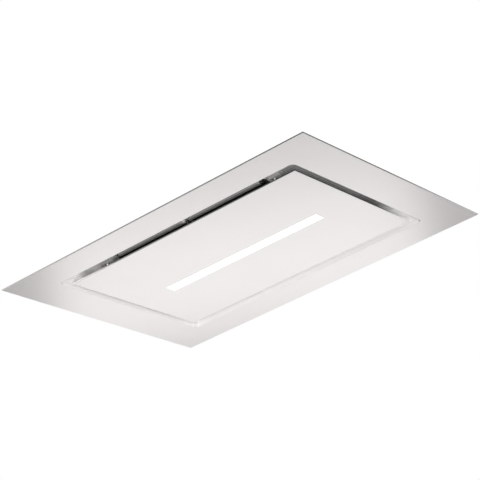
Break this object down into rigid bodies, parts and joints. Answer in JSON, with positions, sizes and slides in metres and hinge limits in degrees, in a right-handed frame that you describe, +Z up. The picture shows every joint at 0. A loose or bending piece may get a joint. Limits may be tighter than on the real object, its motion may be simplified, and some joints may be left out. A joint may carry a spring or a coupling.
{
  "type": "ceiling range hood",
  "caption": "Ceiling range hood: wide brushed-steel frame, hinged centre panel with a light strip, and suction through the gap around the panel.",
  "frame": {"origin": "under the middle of the hood, level with the underside of the centre panel", "axes": "+Z up into the ceiling, X along the long sides with the duct outlet on +X, Y across, with the panel's hinges near its +Y edge"},
  "size_m": [0.94, 0.7, 0.25],
  "materials": {
    "brushed_frame": "light brushed stainless steel, satin",
    "brushed_panel": "light brushed stainless steel, satin",
    "recess_steel": "brushed stainless steel, darker inside",
    "intake_steel": "smooth stainless steel, cross-ribbed",
    "galvanised_body": "galvanised sheet, dull spangle",
    "galvanised_bracket": "galvanised folded plate",
    "zinc_fastener": "zinc-plated",
    "filter_aluminium": "matt aluminium",
    "filter_mesh": "dark expanded aluminium",
    "black_plastic": "matt black moulding",
    "grey_plastic": "matt grey moulding",
    "white_plastic": "white moulding",
    "blower_steel": "galvanised sheet",
    "impeller_plastic": "glass-filled black plastic",
    "motor_alloy": "dark painted cast housing",
    "winding_copper": "lacquered copper on laminated steel",
    "bearing_steel": "ground bearing steel",
    "mount_rubber": "black rubber",
    "circuit_green": "solder-masked board",
    "capacitor_case": "white capacitor case",
    "magnet_nickel": "nickel-plated magnet",
    "strike_zinc": "bright zinc plate",
    "led_extrusion": "extruded aluminium",
    "led_board_white": "white board with diodes",
    "light_opal": "opal diffuser, lit"
  },
  "bodies": {
    "casing": {"frame_plate": "brushed_frame", "recess_walls": "recess_steel", "intake_plate": "intake_steel", "frame_nuts": "zinc_fastener", "body_rear": "galvanised_body", "body_front": "galvanised_body", "body_left": "galvanised_body", "body_right": "galvanised_body", "body_top": "galvanised_body", "hanger_brackets": "galvanised_bracket", "bracket_rivets": "zinc_fastener", "lid_screws": "zinc_fastener", "filter_frame_right": "filter_aluminium", "filter_frame_left": "filter_aluminium", "filter_mesh_right": "filter_mesh", "filter_mesh_left": "filter_mesh", "blower_shelf": "blower_steel", "shelf_rivets": "zinc_fastener", "inlet_ring": "grey_plastic", "blower_scroll": "blower_steel", "blower_top": "blower_steel", "motor_housing": "motor_alloy", "motor_winding": "winding_copper", "motor_bearings": "bearing_steel", "motor_mounts": "mount_rubber", "motor_bolts": "zinc_fastener", "motor_lead": "black_plastic", "outlet_adaptor": "grey_plastic", "outlet_spigot": "grey_plastic", "spigot_screws": "zinc_fastener", "damper_pin": "bearing_steel", "control_box": "galvanised_body", "control_cover": "galvanised_body", "lead_grommet": "mount_rubber", "control_board": "circuit_green", "motor_capacitor": "capacitor_case", "led_driver": "white_plastic", "terminal_block": "white_plastic", "cable_gland": "black_plastic", "hinge_bracket_right": "galvanised_bracket", "hinge_bracket_left": "galvanised_bracket", "hinge_pins": "bearing_steel", "magnet_catch_right": "grey_plastic", "magnet_catch_left": "grey_plastic", "catch_magnets": "magnet_nickel", "recess_screws": "zinc_fastener", "hole_plugs": "black_plastic"},
    "panel": {"panel_face": "brushed_panel", "panel_tray": "galvanised_body", "led_housing": "led_extrusion", "led_board": "led_board_white", "led_diffuser": "light_opal", "hinge_leaves": "galvanised_bracket", "catch_strikes": "strike_zinc"},
    "rotor": {"impeller": "impeller_plastic", "motor_shaft": "bearing_steel"},
    "rear_flap": {"damper_flap_rear": "black_plastic"},
    "front_flap": {"damper_flap_front": "black_plastic"},
    "left_latch": {"filter_latch_left": "black_plastic"},
    "right_latch": {"filter_latch_right": "black_plastic"}
  },
  "joints": [
    {"name": "panel_hinge", "type": "hinge", "parent": "casing", "child": "panel", "pos_m": [0, 0.2165, 0.012], "axis": [1, 0, 0], "range_deg": [0, 90]},
    {"name": "impeller_spin", "type": "hinge", "parent": "casing", "child": "rotor", "pos_m": [0.03, -0.099, 0.1407], "axis": [0, 0, 1], "continuous": true},
    {"name": "rear_flap_hinge", "type": "hinge", "parent": "casing", "child": "rear_flap", "pos_m": [0.398, 0, 0.1407], "axis": [0, 0, 1], "range_deg": [-78, 0], "stiffness_Nm_per_rad": 0.01},
    {"name": "front_flap_hinge", "type": "hinge", "parent": "casing", "child": "front_flap", "pos_m": [0.398, 0, 0.1407], "axis": [0, 0, 1], "range_deg": [0, 78], "stiffness_Nm_per_rad": 0.01},
    {"name": "left_latch_slide", "type": "slide", "parent": "casing", "child": "left_latch", "axis": [0, -1, 0], "range_m": [0, 0.008], "stiffness_N_per_m": 150, "springref_m": -0.01},
    {"name": "right_latch_slide", "type": "slide", "parent": "casing", "child": "right_latch", "axis": [0, -1, 0], "range_m": [0, 0.008], "stiffness_N_per_m": 150, "springref_m": -0.01}
  ]
}
